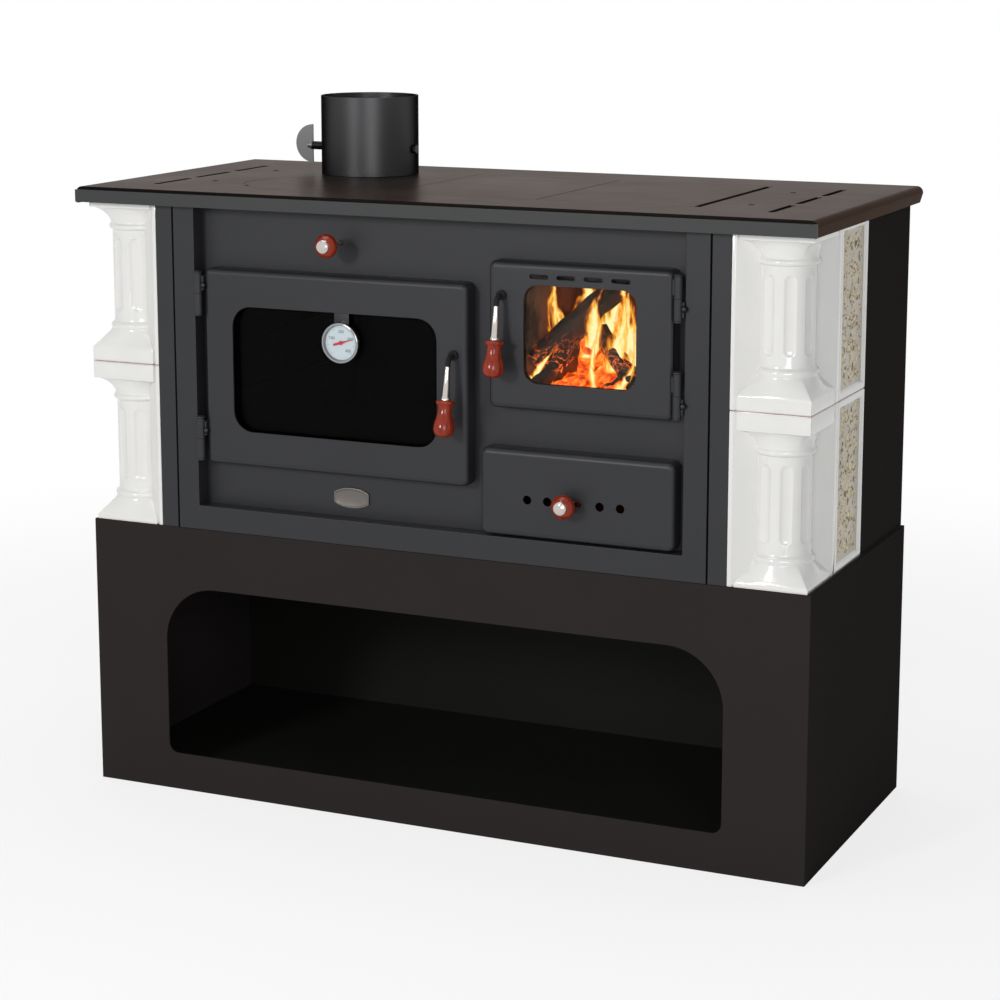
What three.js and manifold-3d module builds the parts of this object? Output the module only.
// A wood-burning cookstove: a steel log-store base, a steel body faced with glazed ceramic
// tiles at its corners and sides, an oven, a firebox with its ash drawer, a hob with lift-off
// plates, and a flue collar with a damper.
//
// Millimetres, +Z up, the front faces -Y. While it is modelled, Y = 0 is the front face of the
// base, X = 0 the middle and Z = 0 the floor. The last lines move the finished stove so that
// its origin is the middle of its bounding box, on the floor.
import * as THREE from "three";
import { mergeVertices } from "three/addons/utils/BufferGeometryUtils.js";
import Module from "manifold-3d";

const wasm = await Module();
wasm.setup();

// ---------------------------------------------------------------- driving dimensions

const sheet = 3; // steel sheet of the casing
const seat = 0.3; // gap that resting faces keep
const jointGap = 0.6; // grout line between two tiles

// Base, an open log store
const baseWidth = 1050;
const baseDepth = 427;
const baseHeight = 381;
const storeHalfWidth = 412;
const storeSill = 53;
const storeHeight = 242.5;
const storeTopRadius = 78;
const storeBottomRadius = 14;
const storeFloorHeight = 24;
const foldDepth = 20; // return flange of a folded sheet

// Ceramic tiles
const tileInset = 5; // tile faces behind the base's side faces
const bodyHeight = 469; // base to worktop
const tileHeadroom = 13.8; // above the upper tiles, behind the apron
const cornerTileWidth = 106; // along the front
const cornerTileDepth = 112; // along the side
const cornerStripFront = 5;
const cornerStripSide = 11;
const sideTileWidth = 117;
const tileThickness = 36;
const cornerTileArm = 36; // depth of the tile's two arms behind its faces
const columnHalf = 48.5; // half of the square plinth and abacus
const shaftRadius = 36;
const columnCore = 62; // how far the column's core reaches into the corner
const lowerFoot = 7; // plain band under the lower column's base
const upperFoot = 19.5;
const baseSlope = 24;
const baseRing = 12;
const columnBands = 31; // foot and top band of one column together
const fluteStart = 49.6; // above the foot
const fluteHead = 11.6; // flutes' upper end to the capital's ring
const fluteEase = 4; // run-out at each end of a flute
const fluteDepth = 3.4;
const fluteCount = 8;
const ringProud = 3.5;
const ringEase = 3;
const capitalRing = 9;
const capitalFlare = 23;
const sideTileFrame = 9;
const sideTileRecess = 3;
const sideTileWall = 10;

// Front of the body
const framePillar = 32; // face width beside the recess
const frameRail = 34;
const trimWidth = 25.2;
const recessDepth = 24;
const shadowGap = 2.5; // between the frame and the tile trim
const frontPanelThickness = 3;

// Hob
const hobThickness = 4;
const hobSideOverhang = 8.5;
const hobFrontOverhang = 17.5;
const hobBackOverhang = 32;
const hobFlange = 22.6;
const hobFoldRadius = 9;
const apronHeight = 17;
const apronStandOff = 3; // in front of the plate's edge
const apronReach = 32; // web under the plate
const hobSlotInset = 83.5; // from the plate's side edge
const hobSlotWidth = 9;
const hobSlotLength = 94;
const hobSlotPitch = 110;
const hobSlotStart = 52;
const hobSlotCount = 3;
const insertInset = 101; // right of the plates to the slots
const insertGap = 58; // lid to the left plate
const insertFront = 76;
const insertBackMargin = 59; // to the body's back
const insertJoint = 1.2;
const insertExpansion = 8.5; // open gap at the right
const insertLedge = 10;
const lidInset = 98; // left of the lid to the slots
const lidFront = 55;
const lidLedge = 8;
const ledgeThickness = 4;
const liftNotch = 6;

// Flue
const flueOffset = 1; // flue to the right of the lid
const flueBackMargin = 104; // flue's axis to the body's back
const flueToLid = 8;
const flueRadius = 70;
const flueWall = 2.5;
const flueHeight = 112; // above the hob
const flueSpigot = 12; // reaches through the hob plate
const damperHeight = 37; // shaft above the hob
const damperClearance = 2;
const damperShaftRadius = 4;
const damperHandleRadius = 27.5;
const damperHandleReach = 23; // from the collar to the handle's straight edge

// Oven
const doorMargin = 15; // door to the recess's side, past the hinges
const doorGap = 30; // between the two doors
const ovenDoorHeadroom = 96.9; // below the frame's top
const ovenDoorHeight = 269;
const ovenWindowMargin = 44; // door's edge to the window, left and right
const ovenWindowBottom = 48;
const ovenWindowHeight = 171.5;
const ovenWindowRadius = 28;
const ovenLap = 21; // door over the oven's mouth
const ovenBackGap = 21.4; // smoke path behind the oven
const ovenRailHeights = [70, 140]; // shelf rails above the oven's floor
const ovenRail = 5;

// Firebox
const fireDoorWidth = 254;
const fireDoorHeadroom = 64.4;
const fireDoorHeight = 192;
const fireWindowMargin = 49.5;
const fireWindowBottom = 35;
const fireWindowHeight = 128;
const fireWindowRadius = 20;
const fireLap = 16;
const airSlotCount = 4;
const airSlotPitch = 37.5;
const airSlotLength = 26;
const airSlotHeight = 6;
const airSlotDrop = 18; // below the door's top edge
const fireboxWall = 4;
const fireboxBackGap = 80.4;
const fireboxTopGap = 60; // below the worktop
const fireboxSide = 1; // shell outside the door's edge
const brickThickness = 26;
const brickHeight = 165;
const shelfDrop = 6; // below the fire door
const shelfThickness = 4;
const grateThickness = 12;
const grateLap = 10;
const grateFront = 30;
const grateGap = 5; // to the bricks
const grateSlots = 8;

// Ash drawer
const drawerPastLeft = 12; // wider than the fire door on this side
const drawerPastRight = 4;
const drawerSill = 2.2; // above the frame's rail
const drawerHeight = 116;
const drawerLap = 21; // front over the opening
const ashPanSide = 4; // running gap beside the pan
const ashPanWall = 2;
const ashPanDepth = 295;
const ashPanHeadroom = 7;
const ashPad = 12;
const airHoleRadius = 6;
const airHoleShares = [-0.24, -0.135, 0.135, 0.24]; // of the drawer's width
const airSlideMargin = 5; // plate past its holes
const airRowOffset = -3; // middle of the hole row from the drawer's middle
const airRowRise = 50.7; // above the drawer's lower edge
const airTravel = 13;
const airKnobReach = 10; // knob's back face ahead of the drawer's front
const airStemOffset = -6; // stem left of the row's middle when open

// Pressed doors and drawer front
const doorProud = 2; // front face ahead of the body's front
const pressWall = 3;
const pressEdge = 8; // radius of the pressed edge
const pressCorner = 9;

// Hinges
const hingeOffset = 7; // axis outside the door's edge
const hingeY = -4;
const barrelRadius = 5.5;
const barrelHalf = 28;
const pinRadius = 3;
const pinLength = 20;
const leafDepth = 12; // back from the axis
const hingeMargin = 6.5; // door's edge to the barrel's end, upper and lower

// Door handles
const handleInset = 19.2; // spindle from the door's free edge
const ovenHandleDrop = 94.5; // spindle below the door's top
const fireHandleDrop = 44;
const ovenHandleReach = 18; // top of the ferrule ahead of the door
const fireHandleReach = 17;
const ovenHandleLean = 9; // degrees, the grip outward
const fireHandleLean = 7;
const handleDrop = 12; // pivot to the ferrule's top
const rodRadius = 3.5;
const spindleRadius = 4;
const tangRadius = 2.4;
const ferruleLength = 44;
const ferruleTop = 3.4;
const ferruleBottom = 6;
const gripLength = 48;
const gripRadius = 14;
const gripNeck = 9.2;
const gripRim = 12.5;
const latchLength = 26;
const latchWidth = 11;
const latchThickness = 4;

// Knobs
const knobRadius = 16;
const knobLength = 20;
const knobBore = 3.2;
const stemRadius = 3;
const capRadius = 9;
const capDepth = 4;

// Smoke bypass
const bypassKnobReach = 31; // knob's back face ahead of the recessed panel
const bypassRise = 1.5; // port above the middle of the partition
const partitionToFlue = 7;
const bypassPort = 96;
const bypassPortMargin = 24; // port to the partition's edge
const bypassLap = 8;

// Oven thermometer
const dialOffset = 11; // right of the door's middle
const dialDrop = 40; // below the window's upper edge
const dialRadius = 27.5;
const dialFace = 23;
const dialRecess = 5;
const dialDepth = 10.5;
const bracketWidth = 22;
const needleAngle = 16.4; // degrees above level, pointing right

// Glass
const glassThickness = 4;
const glassLap = 12;
const retainerWidth = 6;
const retainerLip = 3;

// ---------------------------------------------------------------- derived positions

const baseHalf = baseWidth / 2;
const bodyHalf = baseHalf - tileInset;
const worktopHeight = baseHeight + bodyHeight;
const bodyBottom = baseHeight + seat;
const underHob = worktopHeight - hobThickness;
const bodyTop = underHob - seat;
const frameTop = bodyTop - sheet - seat; // the apron's web lies on the frame
const tileHeight = (bodyTop - bodyBottom - tileHeadroom - jointGap) / 2;
const tileInner = bodyHalf - cornerTileWidth;
const frameOuter = tileInner - seat - trimWidth - shadowGap;
const recessHalfWidth = frameOuter - framePillar;
const recessSill = baseHeight + frameRail;
const panelFront = recessDepth;
const panelBack = panelFront + frontPanelThickness;
const doorFront = -doorProud;
const doorBack = panelFront - 1.3;
const doorInside = doorFront + pressWall;
const backPanelFront = baseDepth - 2 * sheet - seat;

const fireDoorRight = recessHalfWidth - doorMargin;
const fireDoorLeft = fireDoorRight - fireDoorWidth;
const fireDoorBottom = frameTop - fireDoorHeadroom - fireDoorHeight;
const ovenDoorLeft = doorMargin - recessHalfWidth;
const ovenDoorRight = fireDoorLeft - doorGap;
const ovenDoorWidth = ovenDoorRight - ovenDoorLeft;
const ovenDoorBottom = frameTop - ovenDoorHeadroom - ovenDoorHeight;
const drawerLeft = fireDoorLeft - drawerPastLeft;
const drawerWidth = fireDoorWidth + drawerPastLeft + drawerPastRight;
const drawerBottom = recessSill + drawerSill;

const hobHalf = bodyHalf + hobSideOverhang;
const hobSlotX = hobHalf - hobSlotInset;
const flueY = baseDepth - flueBackMargin;
const lidRadius = (flueY - flueRadius - flueToLid - lidFront) / 2;
const lidX = lidInset + lidRadius - hobSlotX;
const lidY = lidFront + lidRadius;
const flueX = lidX + flueOffset;
const insertLeft = lidX + lidRadius + insertGap;
const insertRight = hobSlotX - insertInset;
const insertWidth = (insertRight - insertLeft - insertJoint - insertExpansion) / 2;
const insertBack = baseDepth - insertBackMargin;
const ledgeBottom = underHob - ledgeThickness;

// Mouths in the front panel, each covered by its door or drawer front
const ovenMouth = {
  x0: ovenDoorLeft + ovenLap,
  x1: ovenDoorLeft + ovenDoorWidth - ovenLap / 2,
  z0: ovenDoorBottom + ovenLap,
  z1: ovenDoorBottom + ovenDoorHeight - ovenLap,
};
const fireMouth = {
  x0: fireDoorLeft + fireLap / 2,
  x1: fireDoorLeft + fireDoorWidth - fireLap,
  z0: fireDoorBottom + fireLap,
  z1: fireDoorBottom + fireDoorHeight - fireLap,
};
const ashMouth = {
  x0: drawerLeft + drawerLap,
  x1: drawerLeft + drawerWidth - drawerLap,
  z0: drawerBottom + drawerLap / 2,
  z1: drawerBottom + drawerHeight - drawerLap,
};

const ovenRoof = ovenMouth.z1 + sheet;
const partitionY = flueY - flueRadius - partitionToFlue;
const bypassX = (ovenDoorLeft + ovenDoorRight) / 2;
const bypassZ = (ovenRoof + ledgeBottom) / 2 + bypassRise;
const bypassPortHeight = ledgeBottom - ovenRoof - 2 * bypassPortMargin;

// ---------------------------------------------------------------- solids

// A closed three.js geometry as a manifold solid, turned outside out where a mirror has
// reversed its faces.
function solid(geometry) {
  const bare = geometry.clone();
  bare.deleteAttribute("normal");
  bare.deleteAttribute("uv");
  const merged = mergeVertices(bare, 1e-4);
  const position = merged.getAttribute("position");
  const triVerts = new Uint32Array(merged.index.array);
  let sixVolumes = 0;
  const corner = [new THREE.Vector3(), new THREE.Vector3(), new THREE.Vector3()];
  for (let i = 0; i < triVerts.length; i += 3) {
    corner.forEach((point, k) => point.fromBufferAttribute(position, triVerts[i + k]));
    sixVolumes += corner[0].dot(corner[1].clone().cross(corner[2]));
  }
  if (sixVolumes < 0) triVerts.reverse();
  const vertProperties = new Float32Array(position.array);
  return new wasm.Manifold(new wasm.Mesh({ numProp: 3, vertProperties, triVerts }));
}

// The triangles of a manifold solid as a three.js geometry.
function geometryOf(body) {
  const mesh = body.getMesh();
  const geometry = new THREE.BufferGeometry();
  geometry.setAttribute("position", new THREE.BufferAttribute(new Float32Array(mesh.vertProperties), 3));
  geometry.setIndex(new THREE.BufferAttribute(new Uint32Array(mesh.triVerts), 1));
  const flat = geometry.toNonIndexed();
  flat.computeVertexNormals();
  return flat;
}

const join = (first, ...rest) => rest.reduce((body, next) => body.add(next), first);
const cut = (first, ...rest) => rest.reduce((body, next) => body.subtract(next), first);

function box(x0, x1, y0, y1, z0, z1) {
  const geometry = new THREE.BoxGeometry(x1 - x0, y1 - y0, z1 - z0);
  return solid(geometry.translate((x0 + x1) / 2, (y0 + y1) / 2, (z0 + z1) / 2));
}

// A flat outline given in X and Z, from one Y to another.
function plateXZ(shape, y0, y1, segments = 8) {
  const geometry = new THREE.ExtrudeGeometry(shape, {
    depth: y1 - y0, bevelEnabled: false, curveSegments: segments,
  });
  return solid(geometry.rotateX(Math.PI / 2).translate(0, y1, 0));
}

// A flat outline given in X and Y, from one Z to another.
function plateXY(shape, z0, z1, segments = 8) {
  const geometry = new THREE.ExtrudeGeometry(shape, {
    depth: z1 - z0, bevelEnabled: false, curveSegments: segments,
  });
  return solid(geometry.translate(0, 0, z0));
}

// A flat outline given in Y and Z, from one X to another.
function plateYZ(shape, x0, x1, segments = 8) {
  const geometry = new THREE.ExtrudeGeometry(shape, {
    depth: x1 - x0, bevelEnabled: false, curveSegments: segments,
  });
  const turn = new THREE.Matrix4().makeBasis(
    new THREE.Vector3(0, 1, 0), new THREE.Vector3(0, 0, 1), new THREE.Vector3(1, 0, 0),
  );
  return solid(geometry.applyMatrix4(turn).translate(x0, 0, 0));
}

function rectangle(x0, x1, z0, z1) {
  const shape = new THREE.Shape();
  shape.moveTo(x0, z0).lineTo(x1, z0).lineTo(x1, z1).lineTo(x0, z1).closePath();
  return shape;
}

// A rectangle with one radius on its lower corners and another on its upper ones.
function roundedRectangle(x0, x1, z0, z1, lowerRadius, upperRadius = lowerRadius) {
  const shape = new THREE.Shape();
  const quarter = Math.PI / 2;
  shape.moveTo(x0 + lowerRadius, z0);
  shape.absarc(x1 - lowerRadius, z0 + lowerRadius, lowerRadius, -quarter, 0);
  shape.absarc(x1 - upperRadius, z1 - upperRadius, upperRadius, 0, quarter);
  shape.absarc(x0 + upperRadius, z1 - upperRadius, upperRadius, quarter, 2 * quarter);
  shape.absarc(x0 + lowerRadius, z0 + lowerRadius, lowerRadius, 2 * quarter, 3 * quarter);
  return shape;
}

function cylinderZ(x, y, radius, z0, z1, sides = 32) {
  const geometry = new THREE.CylinderGeometry(radius, radius, z1 - z0, sides);
  return solid(geometry.rotateX(Math.PI / 2).translate(x, y, (z0 + z1) / 2));
}

function cylinderY(x, z, radius, y0, y1, sides = 24) {
  const geometry = new THREE.CylinderGeometry(radius, radius, y1 - y0, sides);
  return solid(geometry.translate(x, (y0 + y1) / 2, z));
}

function cylinderX(y, z, radius, x0, x1, sides = 20) {
  const geometry = new THREE.CylinderGeometry(radius, radius, x1 - x0, sides);
  return solid(geometry.rotateZ(Math.PI / 2).translate((x0 + x1) / 2, y, z));
}

// A profile of [radius, height] points turned about the Z axis.
function turnedZ(points, x, y, sides = 24) {
  const profile = points.map(([radius, height]) => new THREE.Vector2(radius, height));
  profile.push(profile[0].clone());
  const geometry = new THREE.LatheGeometry(profile, sides);
  return solid(geometry.rotateX(Math.PI / 2).translate(x, y, 0));
}

// A profile of [radius, y] points turned about an axis along Y.
function turnedY(points, x, z, sides = 24) {
  const profile = points.map(([radius, y]) => new THREE.Vector2(radius, y));
  profile.push(profile[0].clone());
  const geometry = new THREE.LatheGeometry(profile, sides);
  return solid(geometry.translate(x, 0, z));
}

// Rings of equal length, skinned one to the next and closed with a flat cap at each end.
function loft(rings) {
  const count = rings[0].length;
  const positions = [];
  const triangle = (a, b, c) => [a, b, c].forEach((p) => positions.push(p.x, p.y, p.z));
  const middle = (ring) => ring.reduce((sum, p) => sum.add(p), new THREE.Vector3()).divideScalar(count);
  rings.slice(1).forEach((ring, level) => {
    const below = rings[level];
    for (let k = 0; k < count; k += 1) {
      const next = (k + 1) % count;
      triangle(below[k], below[next], ring[next]);
      triangle(below[k], ring[next], ring[k]);
    }
  });
  const first = rings[0];
  const last = rings[rings.length - 1];
  const foot = middle(first);
  const head = middle(last);
  for (let k = 0; k < count; k += 1) {
    const next = (k + 1) % count;
    triangle(foot, first[next], first[k]);
    triangle(head, last[k], last[next]);
  }
  const geometry = new THREE.BufferGeometry();
  geometry.setAttribute("position", new THREE.Float32BufferAttribute(positions, 3));
  return solid(geometry);
}

// ---------------------------------------------------------------- finishes

const finish = (color, roughness, metalness = 0) =>
  new THREE.MeshStandardMaterial({ color, roughness, metalness });
const blackPaint = finish(0x2b2b2e, 0.6);
const frontPaint = finish(0x3f4144, 0.55);
const hobPaint = finish(0x5f5753, 0.45);
const fluePaint = finish(0x4a4e50, 0.4, 0.3);
const castIron = finish(0x2a2a2b, 0.75);
const glaze = finish(0xe6e7e4, 0.12);
const decorGlaze = finish(0xcfc4a8, 0.3);
const redWood = finish(0x8c2a16, 0.2);
const chrome = finish(0xd8d8d8, 0.12, 1);
const brick = finish(0xb59a78, 0.9);
const glass = finish(0x101214, 0.08);
const dialWhite = finish(0xeef0ee, 0.4);
const needleRed = finish(0xb01830, 0.4);

const stove = new THREE.Group();

function add(name, body, material) {
  const mesh = new THREE.Mesh(geometryOf(body), material);
  mesh.name = name;
  stove.add(mesh);
}

// ---------------------------------------------------------------- base

function baseShell() {
  const plan = new THREE.Shape();
  const inner = baseHalf - sheet;
  const back = baseDepth;
  plan.moveTo(-baseHalf, 0).lineTo(baseHalf, 0).lineTo(baseHalf, back);
  plan.lineTo(baseHalf - foldDepth, back).lineTo(baseHalf - foldDepth, back - sheet);
  plan.lineTo(inner, back - sheet).lineTo(inner, sheet).lineTo(-inner, sheet);
  plan.lineTo(-inner, back - sheet).lineTo(-baseHalf + foldDepth, back - sheet);
  plan.lineTo(-baseHalf + foldDepth, back).lineTo(-baseHalf, back).closePath();
  const mouth = roundedRectangle(
    -storeHalfWidth, storeHalfWidth, storeSill, storeSill + storeHeight,
    storeBottomRadius, storeTopRadius,
  );
  return cut(plateXY(plan, 0, baseHeight), plateXZ(mouth, -1, sheet + 1, 6));
}

// A shelf of sheet steel across the base, with its front and back edges folded down.
function foldedShelf(top, fold) {
  const front = sheet + seat;
  const back = baseDepth - 2 * sheet - 2 * seat;
  const section = new THREE.Shape();
  section.moveTo(front, top - fold).lineTo(front + sheet, top - fold);
  section.lineTo(front + sheet, top - sheet).lineTo(back - sheet, top - sheet);
  section.lineTo(back - sheet, top - fold).lineTo(back, top - fold);
  section.lineTo(back, top).lineTo(front, top).closePath();
  const half = baseHalf - sheet - seat;
  return plateYZ(section, -half, half);
}

const backPanelHalf = baseHalf - sheet - seat;
add("base_shell", baseShell(), blackPaint);
add("base_back_panel", box(
  -backPanelHalf, backPanelHalf, backPanelFront, backPanelFront + sheet, 0, baseHeight,
), blackPaint);
add("base_floor", foldedShelf(storeFloorHeight, storeFloorHeight), blackPaint);
add("base_deck", foldedShelf(baseHeight, foldDepth), blackPaint);

// ---------------------------------------------------------------- ceramic tiles

// One ring of the column: a square at blend 1, a circle at blend 0, with the flutes cut in.
function columnRing(height, radius, blend, flute, side) {
  const ring = [];
  const steps = fluteCount * 4;
  for (let k = 0; k < steps; k += 1) {
    const angle = (k / steps) * 2 * Math.PI;
    const square = columnHalf / Math.max(Math.abs(Math.cos(angle)), Math.abs(Math.sin(angle)));
    // Each eighth has a flat rib at its start and the flute's hollow in its middle.
    const hollow = k % 4 === 2 ? flute : 0;
    const reach = blend * square + (1 - blend) * radius - hollow;
    const inward = columnHalf - reach * Math.cos(angle);
    const back = columnHalf - reach * Math.sin(angle);
    ring.push(new THREE.Vector3(side * (bodyHalf - inward), back, height));
  }
  return ring;
}

// The fluted column: foot band, sloped base, ring, shaft, ring, flared capital, top band.
function column(bottom, foot, side) {
  const rise = bottom + foot;
  const shaftFoot = rise + baseSlope + baseRing;
  const capital = rise + tileHeight - columnBands - capitalFlare - capitalRing;
  const fluteBottom = rise + fluteStart;
  const fluteTop = capital - fluteHead;
  const flare = capital + capitalRing;
  const top = bottom + tileHeight;
  const ringRadius = shaftRadius + ringProud;
  const level = (height, radius, blend = 0, flute = 0) =>
    columnRing(height, radius, blend, flute, side);
  const rings = [
    level(bottom, columnHalf, 1),
    level(rise, columnHalf, 1),
    level(rise + baseSlope, ringRadius),
    level(shaftFoot - ringEase, ringRadius),
    level(shaftFoot, shaftRadius),
    level(fluteBottom, shaftRadius),
    level(fluteBottom + fluteEase, shaftRadius, 0, fluteDepth),
    level(fluteTop - fluteEase, shaftRadius, 0, fluteDepth),
    level(fluteTop, shaftRadius),
    level(capital, shaftRadius),
    level(capital + ringEase, ringRadius),
    level(flare, ringRadius),
  ];
  // The flare is a hollow curve that widens from the round ring to the square abacus.
  const flareSteps = 3;
  for (let k = 1; k <= flareSteps; k += 1) {
    const t = k / flareSteps;
    rings.push(level(flare + capitalFlare * Math.sin((t * Math.PI) / 2), ringRadius, 1 - Math.cos((t * Math.PI) / 2)));
  }
  rings.push(level(top, columnHalf, 1));
  return loft(rings);
}

// A corner tile: on each side of the column a ground slants forward to a narrow edge strip.
function cornerTile(bottom, foot, side) {
  const top = bottom + tileHeight;
  // Boxes are given by how far they reach in from the outer corner, across and back.
  const fromCorner = (in0, in1, back0, back1, z0 = bottom, z1 = top) => {
    const xs = [side * (bodyHalf - in0), side * (bodyHalf - in1)].sort((a, b) => a - b);
    return box(xs[0], xs[1], back0, back1, z0, z1);
  };
  const kept = join(
    fromCorner(-1, columnCore, -1, columnCore),
    fromCorner(-1, cornerTileWidth, -1, cornerTileArm),
    fromCorner(-1, cornerTileArm, -1, cornerTileDepth),
  );
  // The grounds end in the shaft, at the eighths of its turn.
  const eighth = shaftRadius * Math.SQRT1_2;
  const outline = [
    [cornerTileWidth, 0],
    [cornerTileWidth - cornerStripFront, 0],
    [columnHalf + eighth, columnHalf - eighth],
    [columnHalf - eighth, columnHalf + eighth],
    [0, cornerTileDepth - cornerStripSide],
    [0, cornerTileDepth],
    [cornerTileArm, cornerTileDepth],
    [cornerTileArm, columnCore],
    [columnCore, cornerTileArm],
    [cornerTileWidth, cornerTileArm],
  ].map(([inward, back]) => new THREE.Vector2(side * (bodyHalf - inward), back));
  return join(
    column(bottom, foot, side).intersect(kept),
    plateXY(new THREE.Shape(outline), bottom, top),
  );
}

// A side tile: a raised frame round a sunk field, hollow behind as a stove tile is.
function sideTile(bottom, side) {
  const top = bottom + tileHeight;
  const front = cornerTileDepth + jointGap;
  const back = cornerTileDepth + sideTileWidth;
  const across = (in0, in1) => [side * (bodyHalf - in0), side * (bodyHalf - in1)].sort((a, b) => a - b);
  const body = box(...across(0, tileThickness), front, back, bottom, top);
  const field = (inset, x) => [
    [front + inset, bottom + inset], [back - inset, bottom + inset],
    [back - inset, top - inset], [front + inset, top - inset],
  ].map(([y, z]) => new THREE.Vector3(side * x, y, z));
  const sunk = loft([
    field(sideTileFrame + 1.5, bodyHalf - sideTileRecess),
    field(sideTileFrame, bodyHalf),
    field(sideTileFrame, bodyHalf + 1),
  ]);
  const hollow = box(
    ...across(sideTileRecess + sideTileWall, tileThickness + 1),
    front + sideTileWall, back - sideTileWall, bottom + sideTileWall, top - sideTileWall,
  );
  return cut(body, sunk, hollow);
}

const upperTileBottom = bodyBottom + tileHeight + jointGap;
for (const [sideName, side] of [["left", -1], ["right", 1]]) {
  add(`column_tile_${sideName}_lower`, cornerTile(bodyBottom, lowerFoot, side), glaze);
  add(`column_tile_${sideName}_upper`, cornerTile(upperTileBottom, upperFoot, side), glaze);
  add(`side_tile_${sideName}_lower`, sideTile(bodyBottom, side), decorGlaze);
  add(`side_tile_${sideName}_upper`, sideTile(upperTileBottom, side), decorGlaze);
}

// ---------------------------------------------------------------- body casing

// A side panel: its skin is flush with the tiles, and it steps in to pass behind them.
function sidePanel(side) {
  const across = (x0, x1, ...rest) => {
    const xs = [side * x0, side * x1].sort((a, b) => a - b);
    return box(xs[0], xs[1], ...rest, bodyBottom, bodyTop);
  };
  const skinFront = cornerTileDepth + sideTileWidth + jointGap;
  const innerSkin = bodyHalf - tileThickness - seat;
  return join(
    across(bodyHalf - sheet, bodyHalf, skinFront, baseDepth),
    across(innerSkin - sheet, bodyHalf, skinFront, skinFront + sheet),
    across(innerSkin - sheet, innerSkin, columnCore + seat, skinFront + sheet),
    across(bodyHalf - foldDepth, bodyHalf, baseDepth - sheet, baseDepth),
  );
}

// The front frame: pillars and bottom rail in one sheet, folded back round the recess and
// along the shadow gaps at its outer edges.
function frontFrame() {
  const shape = new THREE.Shape();
  shape.moveTo(-frameOuter, bodyBottom).lineTo(frameOuter, bodyBottom).lineTo(frameOuter, frameTop);
  shape.lineTo(recessHalfWidth, frameTop).lineTo(recessHalfWidth, recessSill);
  shape.lineTo(-recessHalfWidth, recessSill).lineTo(-recessHalfWidth, frameTop);
  shape.lineTo(-frameOuter, frameTop).closePath();
  const back = panelFront - seat;
  const folds = [-1, 1].flatMap((side) => {
    const strip = (x0, x1, depth) => {
      const xs = [side * x0, side * x1].sort((a, b) => a - b);
      return box(xs[0], xs[1], 0, depth, bodyBottom, frameTop);
    };
    return [
      strip(recessHalfWidth, recessHalfWidth + sheet, back),
      strip(frameOuter - sheet, frameOuter, foldDepth),
    ];
  });
  const sill = box(
    -recessHalfWidth - sheet, recessHalfWidth + sheet, 0, back, recessSill - sheet, recessSill,
  );
  return join(plateXZ(shape, 0, sheet), sill, ...folds);
}

// A trim strip between the frame and the corner tiles, folded back at both edges.
function tileTrim(side) {
  const inner = frameOuter + shadowGap;
  const outer = tileInner - seat;
  const strip = (x0, x1, depth) => {
    const xs = [side * x0, side * x1].sort((a, b) => a - b);
    return box(xs[0], xs[1], 0, depth, bodyBottom, frameTop);
  };
  return join(
    strip(inner, outer, sheet),
    strip(inner, inner + sheet, foldDepth),
    strip(outer - sheet, outer, tileThickness),
  );
}

function frontPanel() {
  const half = frameOuter - sheet - seat;
  const panel = box(-half, half, panelFront, panelBack, bodyBottom, frameTop);
  const openings = [ovenMouth, fireMouth, ashMouth].map(({ x0, x1, z0, z1 }) =>
    box(x0, x1, panelFront - 1, panelBack + 1, z0, z1));
  const rodHole = cylinderY(
    bypassX, bypassZ, stemRadius + seat, panelFront - 1, panelBack + 1, 16,
  );
  return cut(panel, ...openings, rodHole);
}

add("side_panel_left", sidePanel(-1), blackPaint);
add("side_panel_right", sidePanel(1), blackPaint);
add("back_panel", box(
  sheet + seat - bodyHalf, bodyHalf - sheet - seat,
  backPanelFront, backPanelFront + sheet, bodyBottom, bodyTop,
), blackPaint);
add("front_frame", frontFrame(), frontPaint);
add("front_panel", frontPanel(), frontPaint);
add("tile_trim_left", tileTrim(-1), frontPaint);
add("tile_trim_right", tileTrim(1), frontPaint);

// ---------------------------------------------------------------- hob

const insertMiddle = insertLeft + insertWidth + insertJoint / 2;
const hobFront = -hobFrontOverhang;
const hobBack = baseDepth + hobBackOverhang;

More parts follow.
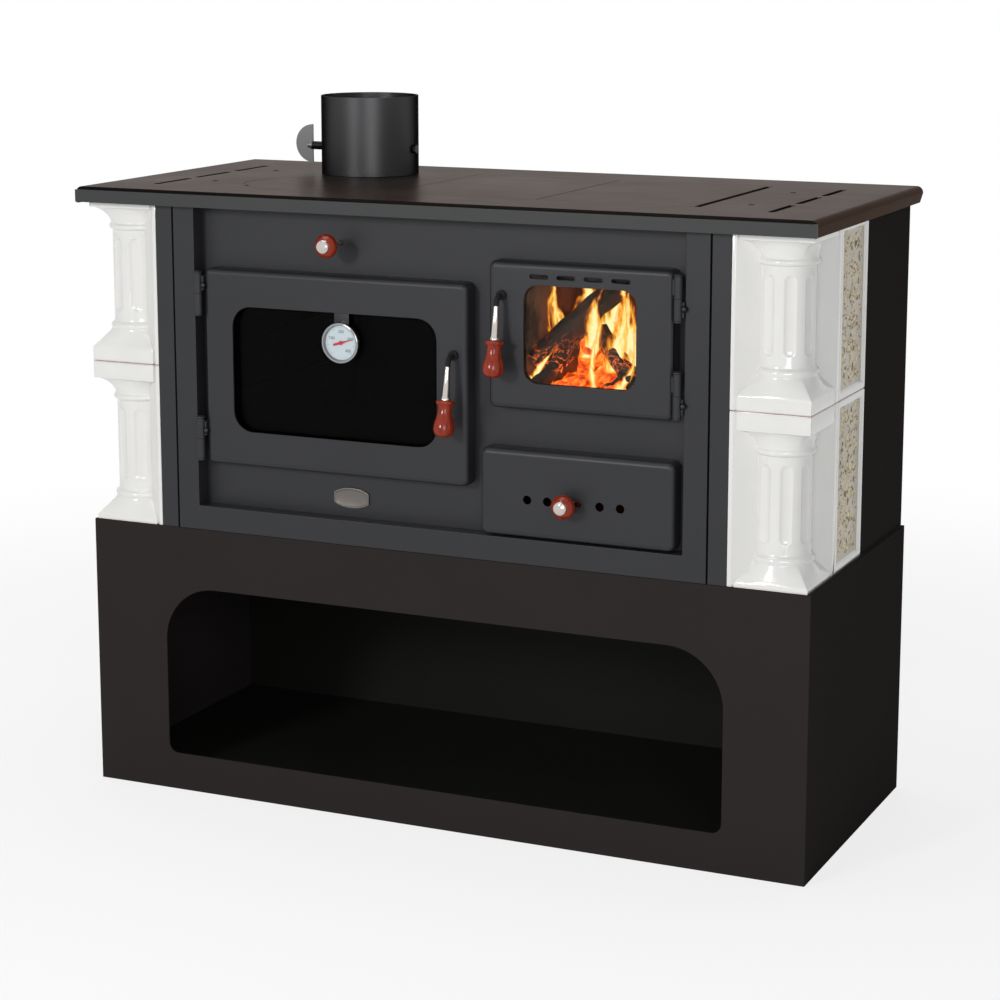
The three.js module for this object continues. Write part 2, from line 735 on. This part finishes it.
// The plate folds down over both sides with a round edge. Ledges under it carry what lifts off.
function hobPlate() {
  const inside = hobHalf - hobThickness;
  const flangeFoot = worktopHeight - hobFlange;
  const bend = worktopHeight - hobFoldRadius;
  const innerRadius = hobFoldRadius - hobThickness;
  const section = new THREE.Shape();
  const quarter = Math.PI / 2;
  section.moveTo(hobHalf, flangeFoot);
  section.absarc(hobHalf - hobFoldRadius, bend, hobFoldRadius, 0, quarter);
  section.absarc(hobFoldRadius - hobHalf, bend, hobFoldRadius, quarter, 2 * quarter);
  section.lineTo(-hobHalf, flangeFoot).lineTo(-inside, flangeFoot);
  section.absarc(hobFoldRadius - hobHalf, bend, innerRadius, 2 * quarter, quarter, true);
  section.absarc(hobHalf - hobFoldRadius, bend, innerRadius, quarter, 0, true);
  section.lineTo(inside, flangeFoot).closePath();
  const above = worktopHeight + 1;
  const bonded = underHob + 1;
  const lidRim = cylinderZ(lidX, lidY, lidRadius + lidLedge, ledgeBottom, bonded, 40);
  const insertRim = box(
    insertLeft - insertLedge, insertRight + insertLedge,
    insertFront - insertLedge, insertBack + insertLedge, ledgeBottom, bonded,
  );
  const half = insertLedge * 0.8;
  const wells = [
    [insertLeft + insertLedge, insertMiddle - half],
    [insertMiddle + half, insertRight - insertExpansion - insertLedge],
  ].map(([x0, x1]) => box(
    x0, x1, insertFront + insertLedge, insertBack - insertLedge, ledgeBottom - 1, above,
  ));
  const slots = [-1, 1].flatMap((side) => Array.from({ length: hobSlotCount }, (_, k) => {
    const x = side * hobSlotX;
    const start = hobSlotStart + k * hobSlotPitch;
    const outline = roundedRectangle(
      x - hobSlotWidth / 2, x + hobSlotWidth / 2, start, start + hobSlotLength, hobSlotWidth / 2 - 0.1,
    );
    return plateXY(outline, underHob - 1, above, 1);
  }));
  return cut(
    join(plateXZ(section, hobFront, hobBack, 3), lidRim, insertRim),
    box(insertLeft, insertRight, insertFront, insertBack, underHob, above),
    cylinderZ(lidX, lidY, lidRadius, underHob, above, 40),
    cylinderZ(lidX, lidY, lidRadius - lidLedge, ledgeBottom - 1, above, 40),
    cylinderZ(flueX, flueY, flueRadius - flueWall * 1.6, underHob - 1, above, 36),
    ...wells,
    ...slots,
  );
}

// The front apron: a face under the plate's front edge and a web that lies on the frame.
function hobApron() {
  const half = hobHalf - hobFoldRadius - seat;
  const front = hobFront - apronStandOff;
  const foot = bodyTop - apronHeight;
  const section = new THREE.Shape();
  section.moveTo(front, bodyTop).lineTo(front, foot);
  section.lineTo(front + sheet, foot).lineTo(front + sheet, bodyTop - sheet);
  section.lineTo(front + apronReach, bodyTop - sheet).lineTo(front + apronReach, bodyTop).closePath();
  // At both ends the face goes on in front of the plate's folded sides.
  const face = box(-hobHalf, hobHalf, front, front + sheet - seat, foot, bodyTop);
  return join(plateYZ(section, -half, half), face);
}

// A lift-off plate with a notch for the lifting tool at one front corner.
function insertPlate(x0, x1, notchX) {
  const plate = box(
    x0, x1, insertFront + jointGap, insertBack - jointGap, underHob + seat, worktopHeight,
  );
  const notch = cylinderZ(notchX, insertFront, liftNotch, underHob - 1, worktopHeight + 1, 16);
  return cut(plate, notch);
}

function roundLid() {
  const turn = THREE.MathUtils.degToRad(221.5);
  const notchX = lidX + lidRadius * Math.cos(turn);
  const notchY = lidY + lidRadius * Math.sin(turn);
  return cut(
    cylinderZ(lidX, lidY, lidRadius - jointGap, underHob + seat, worktopHeight, 40),
    cylinderZ(notchX, notchY, liftNotch, underHob - 1, worktopHeight + 1, 16),
  );
}

const insertLeftPlate = [insertLeft + jointGap, insertLeft + insertWidth];
const insertRightPlate = [
  insertLeft + insertWidth + insertJoint, insertRight - insertExpansion - jointGap,
];
add("hob_plate", hobPlate(), hobPaint);
add("hob_apron", hobApron(), frontPaint);
add("hob_insert_left", insertPlate(...insertLeftPlate, insertLeftPlate[0]), hobPaint);
add("hob_insert_right", insertPlate(...insertRightPlate, insertRightPlate[1]), hobPaint);
add("hob_round_lid", roundLid(), hobPaint);

// ---------------------------------------------------------------- flue and damper

const damperZ = worktopHeight + damperHeight;

function flueCollar() {
  const foot = worktopHeight + seat;
  const inside = flueRadius - flueWall;
  const spigotOutside = flueRadius - flueWall * 1.6 - seat;
  const spigotInside = spigotOutside - flueWall;
  const ring = turnedZ([
    [spigotInside, foot - flueSpigot], [spigotOutside, foot - flueSpigot], [spigotOutside, foot],
    [flueRadius, foot], [flueRadius, worktopHeight + flueHeight],
    [inside, worktopHeight + flueHeight], [inside, foot + sheet], [spigotInside, foot + sheet],
  ], flueX, flueY, 36);
  const bore = cylinderX(
    flueY, damperZ, damperShaftRadius + seat, flueX - flueRadius - 1, flueX + flueRadius + 1, 16,
  );
  return cut(ring, bore);
}

// The damper stands upright, which leaves the flue open.
function damperDisc() {
  const radius = flueRadius - flueWall - damperClearance;
  const hub = damperShaftRadius + 3;
  return cut(
    join(
      cylinderY(flueX, damperZ, radius, flueY - 1, flueY + 1, 36),
      cylinderX(flueY, damperZ, hub, flueX - radius * 0.8, flueX + radius * 0.8, 16),
    ),
    cylinderX(flueY, damperZ, damperShaftRadius + seat, flueX - radius - 1, flueX + radius + 1, 16),
  );
}

// The shaft runs through the collar, with a half-round handle at its left end.
function damperHandle() {
  const edge = flueX - flueRadius - damperHandleReach;
  const end = flueX + flueRadius + 5;
  const shape = new THREE.Shape();
  const middle = damperZ + 3;
  shape.moveTo(edge, middle + damperHandleRadius);
  shape.absarc(edge, middle, damperHandleRadius, Math.PI / 2, 1.5 * Math.PI);
  shape.closePath();
  const plate = plateXZ(shape, flueY - sheet / 2, flueY + sheet / 2, 14);
  return join(
    plate,
    cylinderX(flueY, damperZ, damperShaftRadius, edge - 8, end, 16),
    cylinderX(flueY, damperZ, damperShaftRadius + 2, edge - 3, flueX - flueRadius - 2, 16),
    cylinderX(flueY, damperZ, damperShaftRadius + 2.5, flueX + flueRadius + 1, end, 6),
  );
}

add("flue_collar", flueCollar(), fluePaint);
add("damper_disc", damperDisc(), castIron);
add("damper_handle", damperHandle(), fluePaint);

// ---------------------------------------------------------------- oven and smoke path

const ovenBack = backPanelFront - ovenBackGap;

function ovenBox() {
  const { x0, x1, z0, z1 } = ovenMouth;
  const front = panelBack + seat;
  const shell = cut(
    box(x0 - sheet, x1 + sheet, front, ovenBack, z0 - sheet, z1 + sheet),
    box(x0, x1, front - 1, ovenBack - sheet, z0, z1),
  );
  const rails = ovenRailHeights.flatMap((height) => [
    box(x0 - 1, x0 + ovenRail, front, ovenBack - 1, z0 + height, z0 + height + ovenRail),
    box(x1 - ovenRail, x1 + 1, front, ovenBack - 1, z0 + height, z0 + height + ovenRail),
  ]);
  return join(shell, ...rails);
}

const fireboxLeft = fireDoorLeft - fireboxSide;
const fireboxRight = fireDoorLeft + fireDoorWidth + fireboxSide;

// The partition stands on the oven's roof and holds the smoke back from the flue.
function smokePartition() {
  const left = sheet + seat - (bodyHalf - tileThickness);
  const plate = box(
    left, fireboxLeft - seat, partitionY, partitionY + sheet, ovenRoof + seat, ledgeBottom - seat,
  );
  const port = box(
    bypassX - bypassPort / 2, bypassX + bypassPort / 2, partitionY - 1, partitionY + sheet + 1,
    bypassZ - bypassPortHeight / 2, bypassZ + bypassPortHeight / 2,
  );
  return cut(plate, port);
}

// A knob cap: a shallow chrome dome on the end of a stem.
function stemWithCap(x, z, backY, capY) {
  return join(
    cylinderY(x, z, stemRadius, capY - 1, backY, 16),
    turnedY([[0, capY], [capRadius, capY], [capRadius * 0.86, capY - capDepth * 0.6],
      [capRadius * 0.5, capY - capDepth * 0.93], [0, capY - capDepth]], x, z, 16),
  );
}

// The bypass rod carries a flap that closes the partition's port.
function bypassRod() {
  const lapX = bypassPort / 2 + bypassLap;
  const lapZ = bypassPortHeight / 2 + bypassLap;
  const flapBack = partitionY - seat;
  return join(
    stemWithCap(bypassX, bypassZ, flapBack - 1, panelFront - bypassKnobReach - knobLength - seat),
    box(bypassX - lapX, bypassX + lapX, flapBack - sheet, flapBack, bypassZ - lapZ, bypassZ + lapZ),
  );
}

// A turned wooden knob, bored for its stem. Its back face is at y.
function knob(x, z, y) {
  const front = y - knobLength;
  const at = (share) => y - share * knobLength;
  return turnedY([
    [knobBore, y], [knobRadius * 0.5, y], [knobRadius * 0.62, at(0.1)], [knobRadius * 0.93, at(0.3)],
    [knobRadius, at(0.5)], [knobRadius * 0.95, at(0.7)], [knobRadius * 0.78, at(0.9)],
    [capRadius + 0.6, front], [knobBore, front],
  ].reverse(), x, z, 20);
}

add("oven_box", ovenBox(), castIron);
add("smoke_partition", smokePartition(), castIron);
add("bypass_rod", bypassRod(), chrome);
add("bypass_knob", knob(bypassX, bypassZ, panelFront - bypassKnobReach), redWood);

// ---------------------------------------------------------------- firebox

const fireboxInnerLeft = fireboxLeft + fireboxWall;
const fireboxInnerRight = fireboxRight - fireboxWall;
const fireboxFront = panelBack + seat;
const fireboxBack = backPanelFront - fireboxBackGap;
const fireboxTop = worktopHeight - fireboxTopGap;
const ashFloor = ashMouth.z0 + 2;
const shelfTop = fireDoorBottom - shelfDrop;
const grate = {
  x0: fireboxInnerLeft + seat + brickThickness + grateGap,
  x1: fireboxInnerRight - seat - brickThickness - grateGap,
  y0: fireboxFront + grateFront,
  y1: fireboxBack - fireboxWall - brickThickness - 2 * seat - 1,
};

// One welded shell: the ash chamber below the shelf, the fire above it, open at the top.
function fireboxShell() {
  const wall = fireboxWall;
  return cut(
    box(fireboxLeft, fireboxRight, fireboxFront, fireboxBack, ashFloor - wall, fireboxTop),
    box(
      fireboxInnerLeft, fireboxInnerRight, fireboxFront - 1, fireboxBack - wall,
      ashFloor, shelfTop - shelfThickness,
    ),
    box(
      fireboxInnerLeft, fireboxInnerRight, fireboxFront - 1, fireboxBack - wall,
      shelfTop, fireboxTop + 1,
    ),
    box(
      grate.x0 + grateLap, grate.x1 - grateLap, grate.y0 + grateLap, grate.y1 - grateLap,
      shelfTop - shelfThickness - 1, shelfTop + 1,
    ),
  );
}

function fireGrate() {
  const plate = box(grate.x0, grate.x1, grate.y0, grate.y1, shelfTop + seat, shelfTop + grateThickness);
  const open = grate.y1 - grate.y0 - 4 * grateLap;
  const pitch = open / grateSlots;
  const slots = Array.from({ length: grateSlots }, (_, k) => {
    const y = grate.y0 + 2 * grateLap + (k + 0.5) * pitch;
    return box(
      grate.x0 + 2 * grateLap, grate.x1 - 2 * grateLap, y - pitch * 0.27, y + pitch * 0.27,
      shelfTop - 1, shelfTop + grateThickness + 1,
    );
  });
  return cut(plate, ...slots);
}

const brickFront = fireboxFront + seat;
const brickBack = fireboxBack - fireboxWall - seat;
const brickFoot = shelfTop + seat;
add("firebox_shell", fireboxShell(), castIron);
add("firebrick_left", box(
  fireboxInnerLeft + seat, fireboxInnerLeft + seat + brickThickness,
  brickFront, brickBack, brickFoot, brickFoot + brickHeight,
), brick);
add("firebrick_right", box(
  fireboxInnerRight - seat - brickThickness, fireboxInnerRight - seat,
  brickFront, brickBack, brickFoot, brickFoot + brickHeight,
), brick);
add("firebrick_back", box(
  fireboxInnerLeft + brickThickness + 2 * seat, fireboxInnerRight - brickThickness - 2 * seat,
  brickBack - brickThickness, brickBack, brickFoot, brickFoot + brickHeight,
), brick);
add("fire_grate", fireGrate(), castIron);

// ---------------------------------------------------------------- pressed doors

// The outline of a pressed front at one depth, as a ring of points.
function pressedRing(x0, x1, z0, z1, inset, radius, y) {
  const ring = [];
  const r = Math.max(radius - inset, 0.6);
  const arcSteps = 3;
  const corners = [
    [x1 - inset - r, z0 + inset + r, -90], [x1 - inset - r, z1 - inset - r, 0],
    [x0 + inset + r, z1 - inset - r, 90], [x0 + inset + r, z0 + inset + r, 180],
  ];
  corners.forEach(([cx, cz, start]) => {
    for (let k = 0; k <= arcSteps; k += 1) {
      const angle = THREE.MathUtils.degToRad(start + (90 * k) / arcSteps);
      ring.push(new THREE.Vector3(cx + r * Math.cos(angle), y, cz + r * Math.sin(angle)));
    }
  });
  return ring;
}

// A sheet pressed to a shallow pan, with a round front edge, open at the back.
function pressedPan(x0, x1, z0, z1) {
  const skin = (inset, edge, front, back) => {
    const rings = [];
    const edgeSteps = 3;
    for (let k = 0; k <= edgeSteps; k += 1) {
      const angle = (k / edgeSteps) * (Math.PI / 2);
      const draw = edge * (1 - Math.sin(angle));
      rings.push(pressedRing(
        x0 + inset, x1 - inset, z0 + inset, z1 - inset, draw, pressCorner, front + edge * (1 - Math.cos(angle)),
      ));
    }
    rings.push(pressedRing(x0 + inset, x1 - inset, z0 + inset, z1 - inset, 0, pressCorner, back));
    return loft(rings);
  };
  return cut(
    skin(0, pressEdge, doorFront, doorBack),
    skin(pressWall, pressEdge - pressWall, doorInside, doorBack + 5),
  );
}

// One half of a lift-off hinge: a barrel on the axis and a short leaf to the sheet beside it.
function hingeHalf(axisX, z0, toward, leafReach, bored) {
  const barrel = cylinderZ(axisX, hingeY, barrelRadius, z0, z0 + barrelHalf - seat, 16);
  const xs = [axisX, axisX + toward * leafReach].sort((a, b) => a - b);
  const inset = 4;
  const leaf = box(
    xs[0], xs[1], hingeY, hingeY + leafDepth, z0 + inset, z0 + barrelHalf - seat - inset,
  );
  if (!bored) return join(barrel, leaf);
  const bore = cylinderZ(axisX, hingeY, pinRadius + seat, z0 - 1, z0 + pinLength + 1, 12);
  return cut(join(barrel, leaf), bore);
}

// The half on the frame, with the pin that the door's half drops over.
function fixedHinge(axisX, z0, toward) {
  return join(
    hingeHalf(axisX, z0, toward, doorMargin - hingeOffset - seat, false),
    cylinderZ(axisX, hingeY, pinRadius, z0 + 1, z0 + barrelHalf + pinLength, 12),
  );
}

// Where a door's two hinges start, from the bottom up.
const hingeFeet = (bottom, height) => [
  bottom + hingeMargin, bottom + height - hingeMargin - 2 * barrelHalf,
];

function doorWithHinges(left, width, bottom, height, axisX, window) {
  const inward = Math.sign(left + width / 2 - axisX);
  const halves = hingeFeet(bottom, height).map((z) =>
    hingeHalf(axisX, z + barrelHalf, inward, hingeOffset + 1, true));
  const pan = cut(
    pressedPan(left, left + width, bottom, bottom + height),
    plateXZ(window, doorFront - 1, doorInside + 1, 3),
  );
  return join(pan, ...halves);
}

// The glass and the frame that holds it against the pressed sheet.
function glassPane(x0, x1, z0, z1, front) {
  const lap = glassLap - seat;
  return box(x0 - lap, x1 + lap, front, front + glassThickness, z0 - lap, z1 + lap);
}

function glassRetainer(x0, x1, z0, z1, front, radius) {
  const outer = glassLap + retainerWidth;
  const lipFront = front + glassThickness + seat;
  const lip = lipFront + retainerLip;
  return cut(
    box(x0 - outer, x1 + outer, doorInside + seat, lip, z0 - outer, z1 + outer),
    box(x0 - glassLap, x1 + glassLap, doorInside - 1, lipFront, z0 - glassLap, z1 + glassLap),
    plateXZ(roundedRectangle(x0, x1, z0, z1, radius), doorInside, lip + 1, 3),
  );
}

// A door handle: a spindle through the door, a bent rod, a chrome ferrule and a turned grip.
// Ferrule, grip and the rod's tang lean outward together about the end of the bent rod.
function leaned(body, { x, z, reach, lean }) {
  const pivot = new THREE.Vector3(x, doorFront - reach, z - handleDrop);
  const matrix = new THREE.Matrix4().makeTranslation(pivot)
    .multiply(new THREE.Matrix4().makeRotationX(-THREE.MathUtils.degToRad(lean)))
    .multiply(new THREE.Matrix4().makeTranslation(pivot.clone().negate()));
  return solid(geometryOf(body).applyMatrix4(matrix));
}

function handleArm(handle) {
  const { x, z, reach } = handle;
  const y = doorFront - reach;
  const path = new THREE.CatmullRomCurve3([
    new THREE.Vector3(x, doorFront + 1, z),
    new THREE.Vector3(x, doorFront - reach * 0.45, z - handleDrop * 0.05),
    new THREE.Vector3(x, doorFront - reach * 0.86, z - handleDrop * 0.36),
    new THREE.Vector3(x, y, z - handleDrop + 2),
  ]);
  const section = new THREE.Shape();
  section.absarc(0, 0, rodRadius, 0, 2 * Math.PI);
  const rod = solid(new THREE.ExtrudeGeometry(section, {
    steps: 8, curveSegments: 5, extrudePath: path,
  }));
  const tang = join(
    cylinderZ(x, y, rodRadius, z - handleDrop, z - handleDrop + 3, 16),
    cylinderZ(x, y, tangRadius, z - handleDrop - ferruleLength - gripLength * 0.3, z - handleDrop + 2, 10),
  );
  return join(
    rod,
    leaned(tang, handle),
    cylinderY(x, z, spindleRadius, doorFront - 1, doorBack - 4, 16),
    cylinderY(x, z, spindleRadius + 2.5, doorFront - 4, doorFront - seat, 16),
  );
}

function ferrule(handle) {
  const { x, z, reach } = handle;
  const top = z - handleDrop - seat;
  const bottom = z - handleDrop - ferruleLength;
  const bore = tangRadius + seat;
  return leaned(turnedZ([
    [bore, bottom], [ferruleBottom, bottom], [ferruleBottom * 0.92, bottom + 5],
    [ferruleTop, top - 8], [ferruleTop, top], [bore, top],
  ], x, doorFront - reach, 16), handle);
}

function grip(handle) {
  const { x, z, reach } = handle;
  const top = z - handleDrop - ferruleLength - seat;
  const bottom = top - gripLength;
  const at = (share) => bottom + share * gripLength;
  const bore = tangRadius + seat;
  return leaned(turnedZ([
    [0, bottom], [gripRadius * 0.55, bottom], [gripRadius * 0.85, at(0.08)], [gripRadius, at(0.23)],
    [gripRadius * 0.95, at(0.33)], [gripNeck * 1.12, at(0.56)], [gripNeck, at(0.75)],
    [gripNeck * 1.08, at(0.85)], [gripRim * 0.95, at(0.9)], [gripRim, at(0.95)],
    [gripRim * 0.95, top], [bore, top], [bore, at(0.66)], [0, at(0.66)],
  ], x, doorFront - reach, 20), handle);
}

// The latch turns with the spindle inside the door. Its nose is beside the spindle, towards
// the door's free edge.
function latch({ x, z, toward }) {
  const y0 = doorBack - 4 - latchThickness;
  const ends = [x - (toward * latchWidth) / 2, x + toward * (latchLength - latchWidth)];
  const xs = ends.sort((a, b) => a - b);
  const half = latchWidth / 2;
  const bar = plateXZ(roundedRectangle(xs[0], xs[1], z - half, z + half, half - 0.5), y0, y0 + latchThickness, 4);
  return cut(bar, cylinderY(x, z, spindleRadius + seat, y0 - 1, y0 + latchThickness + 1, 16));
}

// Oven door
const ovenHandleX = ovenDoorRight - handleInset;
const ovenHandleZ = ovenDoorBottom + ovenDoorHeight - ovenHandleDrop;
const ovenAxis = ovenDoorLeft - hingeOffset;
const ovenWindow = {
  x0: ovenDoorLeft + ovenWindowMargin,
  x1: ovenDoorRight - ovenWindowMargin,
  z0: ovenDoorBottom + ovenWindowBottom,
  z1: ovenDoorBottom + ovenWindowBottom + ovenWindowHeight,
};
const ovenWindowShape = roundedRectangle(
  ovenWindow.x0, ovenWindow.x1, ovenWindow.z0, ovenWindow.z1, ovenWindowRadius,
);
const ovenGlassFront = doorInside + dialDepth - dialRecess + dialRecess * 0.55;
const throughDoor = (x, z) => cylinderY(x, z, spindleRadius + seat, doorFront - 1, doorInside + 1, 16);
const ovenPane = [ovenWindow.x0, ovenWindow.x1, ovenWindow.z0, ovenWindow.z1, ovenGlassFront];

add("oven_door_panel", cut(
  doorWithHinges(ovenDoorLeft, ovenDoorWidth, ovenDoorBottom, ovenDoorHeight, ovenAxis, ovenWindowShape),
  throughDoor(ovenHandleX, ovenHandleZ),
), frontPaint);
add("oven_door_glass", glassPane(...ovenPane), glass);
add("oven_glass_retainer", glassRetainer(...ovenPane, ovenWindowRadius), blackPaint);
hingeFeet(ovenDoorBottom, ovenDoorHeight).forEach((z, k) => {
  add(`oven_hinge_${k ? "upper" : "lower"}`, fixedHinge(ovenAxis, z, -1), frontPaint);
});

// Fire door
const fireHandleX = fireDoorLeft + handleInset;
const fireHandleZ = fireDoorBottom + fireDoorHeight - fireHandleDrop;
const fireAxis = fireDoorRight + hingeOffset;
const fireWindow = {
  x0: fireDoorLeft + fireWindowMargin,
  x1: fireDoorRight - fireWindowMargin,
  z0: fireDoorBottom + fireWindowBottom,
  z1: fireDoorBottom + fireWindowBottom + fireWindowHeight,
};
const fireWindowShape = roundedRectangle(
  fireWindow.x0, fireWindow.x1, fireWindow.z0, fireWindow.z1, fireWindowRadius,
);
const fireGlassFront = doorInside + seat;
const firePane = [fireWindow.x0, fireWindow.x1, fireWindow.z0, fireWindow.z1, fireGlassFront];

// The row of air slots above the fire window.
function airSlots() {
  const middle = (fireDoorLeft + fireDoorRight) / 2;
  const z = fireDoorBottom + fireDoorHeight - airSlotDrop;
  return Array.from({ length: airSlotCount }, (_, k) => {
    const x = middle + (k - (airSlotCount - 1) / 2) * airSlotPitch;
    const outline = roundedRectangle(
      x - airSlotLength / 2, x + airSlotLength / 2,
      z - airSlotHeight / 2, z + airSlotHeight / 2, airSlotHeight / 2 - 0.1,
    );
    return plateXZ(outline, doorFront - 1, doorInside + 1, 1);
  });
}

add("fire_door_panel", cut(
  doorWithHinges(fireDoorLeft, fireDoorWidth, fireDoorBottom, fireDoorHeight, fireAxis, fireWindowShape),
  throughDoor(fireHandleX, fireHandleZ),
  ...airSlots(),
), frontPaint);
add("fire_door_glass", glassPane(...firePane), glass);
add("fire_glass_retainer", glassRetainer(...firePane, fireWindowRadius), blackPaint);
hingeFeet(fireDoorBottom, fireDoorHeight).forEach((z, k) => {
  add(`fire_hinge_${k ? "upper" : "lower"}`, fixedHinge(fireAxis, z, 1), frontPaint);
});

const handles = {
  oven: { x: ovenHandleX, z: ovenHandleZ, reach: ovenHandleReach, lean: ovenHandleLean, toward: 1 },
  fire: { x: fireHandleX, z: fireHandleZ, reach: fireHandleReach, lean: fireHandleLean, toward: -1 },
};
for (const [name, handle] of Object.entries(handles)) {
  add(`${name}_handle_arm`, handleArm(handle), castIron);
  add(`${name}_handle_ferrule`, ferrule(handle), chrome);
  add(`${name}_handle_grip`, grip(handle), redWood);
  add(`${name}_latch`, latch(handle), castIron);
}

// ---------------------------------------------------------------- oven thermometer

const dialX = (ovenDoorLeft + ovenDoorRight) / 2 + dialOffset;
const dialZ = ovenWindow.z1 - dialDrop;

// A cup-shaped case on a flat bracket that hangs behind the window's upper edge.
function thermometerCase() {
  const back = doorInside + dialDepth - dialRecess;
  const rim = back - dialDepth;
  const face = rim + dialRecess;
  const rimEdge = dialRadius - 2;
  const cup = turnedY([
    [0, face], [dialFace, face], [dialFace, rim + 1.5], [dialFace + 1.5, rim],
    [rimEdge, rim], [dialRadius, rim + 2], [dialRadius, back], [0, back],
  ].reverse(), dialX, dialZ, 32);
  const bracketTop = ovenWindow.z1 + glassLap;
  const bracket = box(
    dialX - bracketWidth / 2, dialX + bracketWidth / 2, doorInside + seat, doorInside + seat + 1.5,
    dialZ + dialFace, bracketTop,
  );
  return join(cup, bracket);
}

// The pointer turns on a pin at the middle of the dial.
function thermometerNeedle() {
  const back = doorInside + dialDepth - dialRecess;
  const face = back - dialDepth + dialRecess;
  const y1 = face - seat;
  const y0 = y1 - 1.2;
  const shape = new THREE.Shape();
  shape.moveTo(dialFace * 0.86, 0).lineTo(0, 1.6).lineTo(-dialFace * 0.5, 1.5);
  shape.lineTo(-dialFace * 0.5, -1.5).lineTo(0, -1.6).closePath();
  const bar = new THREE.ExtrudeGeometry(shape, { depth: y1 - y0, bevelEnabled: false });
  bar.rotateZ(THREE.MathUtils.degToRad(needleAngle)).rotateX(Math.PI / 2).translate(dialX, y1, dialZ);
  return join(solid(bar), cylinderY(dialX, dialZ, 2.6, y0 - 0.8, y1, 16));
}

add("thermometer_case", thermometerCase(), dialWhite);
add("thermometer_needle", thermometerNeedle(), needleRed);

// ---------------------------------------------------------------- ash drawer

const airRowX = drawerLeft + drawerWidth / 2 + airRowOffset;
const airRowZ = drawerBottom + airRowRise;
const airHoleOffsets = airHoleShares.map((share) => share * drawerWidth);
const stemX = airRowX + airStemOffset;
const slideFront = doorInside + seat;
const slideBack = slideFront + 2;
const ashPanFront = slideBack + seat;
const ashPanLeft = ashMouth.x0 + ashPanSide;
const ashPanRight = ashMouth.x1 - ashPanSide;
const ashPanFoot = ashFloor + seat;
const airKnobBack = doorFront - airKnobReach;
const airHoles = (y0, y1) =>
  airHoleOffsets.map((offset) => cylinderY(airRowX + offset, airRowZ, airHoleRadius, y0, y1, 12));

function drawerFront() {
  const half = stemRadius + 1;
  const slot = roundedRectangle(
    stemX - half, stemX + airTravel + half, airRowZ - half, airRowZ + half, half - 0.1,
  );
  return cut(
    pressedPan(drawerLeft, drawerLeft + drawerWidth, drawerBottom, drawerBottom + drawerHeight),
    ...airHoles(doorFront - 1, doorInside + 1),
    plateXZ(slot, doorFront - 1, doorInside + 1, 1),
  );
}

// The pan, with a window for the air in its front wall and a pad each side of the air slide.
function ashPan() {
  const back = ashPanFront + ashPanDepth;
  const top = ashMouth.z1 - ashPanHeadroom;
  const windowMargin = airHoleRadius * 1.7;
  const tray = cut(
    box(ashPanLeft, ashPanRight, ashPanFront, back, ashPanFoot, top),
    box(
      ashPanLeft + ashPanWall, ashPanRight - ashPanWall, ashPanFront + ashPanWall, back - ashPanWall,
      ashPanFoot + ashPanWall, top + 1,
    ),
    box(
      airRowX + airHoleOffsets[0] - windowMargin, airRowX + airHoleOffsets[3] + windowMargin,
      ashPanFront - 1, ashPanFront + ashPanWall + 1, airRowZ - windowMargin, airRowZ + windowMargin,
    ),
  );
  const pads = [ashPanLeft, ashPanRight - ashPad].map((x) =>
    box(x, x + ashPad, doorInside + seat, ashPanFront + 1, ashPanFoot + ashPad, top - ashPad));
  return join(tray, ...pads);
}

// The slide lies behind the front's air holes and is moved by the knob's stem.
function airSlide() {
  const half = airHoleRadius + airSlideMargin;
  const reach = airHoleOffsets[3] + half;
  const plate = box(
    airRowX - reach, airRowX + reach, slideFront, slideBack, airRowZ - half, airRowZ + half,
  );
  return join(
    cut(plate, ...airHoles(slideFront - 1, slideBack + 1)),
    stemWithCap(stemX, airRowZ, slideFront + 1, airKnobBack - knobLength - seat),
    cylinderY(stemX, airRowZ, stemRadius + 2, airKnobBack + seat, airKnobBack + 5, 16),
  );
}

add("ash_drawer_front", drawerFront(), frontPaint);
add("ash_pan", ashPan(), blackPaint);
add("air_slide", airSlide(), chrome);
add("air_knob", knob(stemX, airRowZ, airKnobBack), redWood);

// ---------------------------------------------------------------- origin

const bounds = new THREE.Box3().setFromObject(stove);
stove.position.set(
  -(bounds.min.x + bounds.max.x) / 2, -(bounds.min.y + bounds.max.y) / 2, -bounds.min.z,
);

export default stove;
